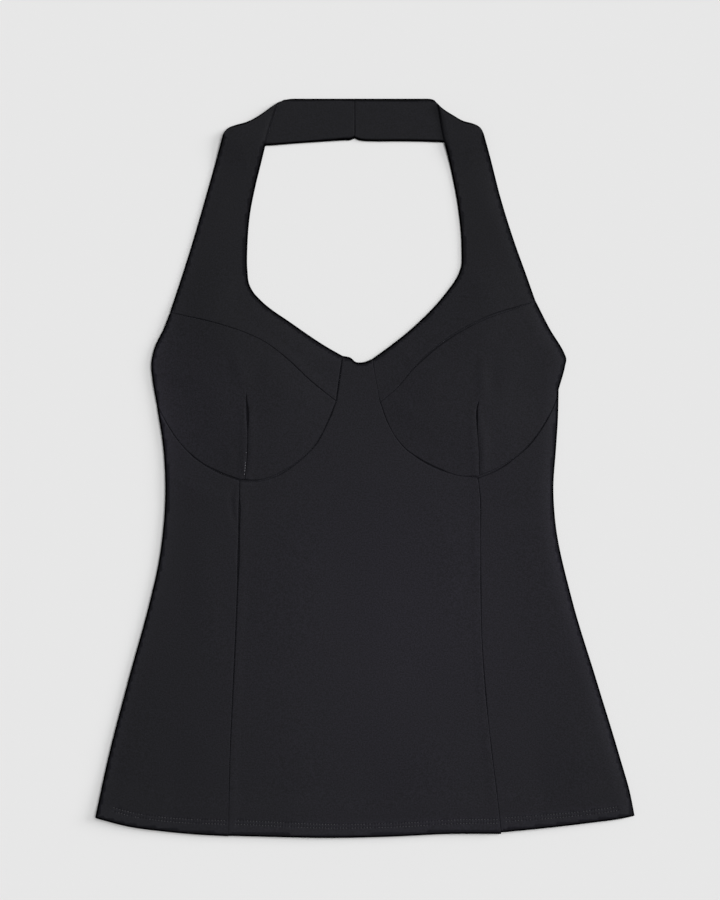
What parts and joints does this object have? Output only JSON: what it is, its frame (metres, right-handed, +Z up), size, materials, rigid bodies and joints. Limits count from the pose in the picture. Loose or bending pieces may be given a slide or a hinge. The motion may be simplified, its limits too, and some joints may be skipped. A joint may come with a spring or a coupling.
{
  "type": "halter neck top",
  "caption": "Fitted halter neck top with shaped bust cups, princess seams and a flared hem, laid flat on its back, front up.",
  "frame": {"origin": "on the surface the top lies on, in the middle of its length and width", "axes": "+Z up from the surface, out of the garment's front; +Y from the hem towards the neck; +X towards the wearer's left"},
  "size_m": [0.4841, 0.6638, 0.0067],
  "materials": {
    "fabric": "matte black stretch crepe"
  },
  "bodies": {
    "root": {"back": "fabric", "centre_front": "fabric", "side_front_right": "fabric", "side_front_left": "fabric", "cup_right": "fabric", "cup_left": "fabric", "strap_right": "fabric", "strap_left": "fabric"}
  },
  "joints": []
}
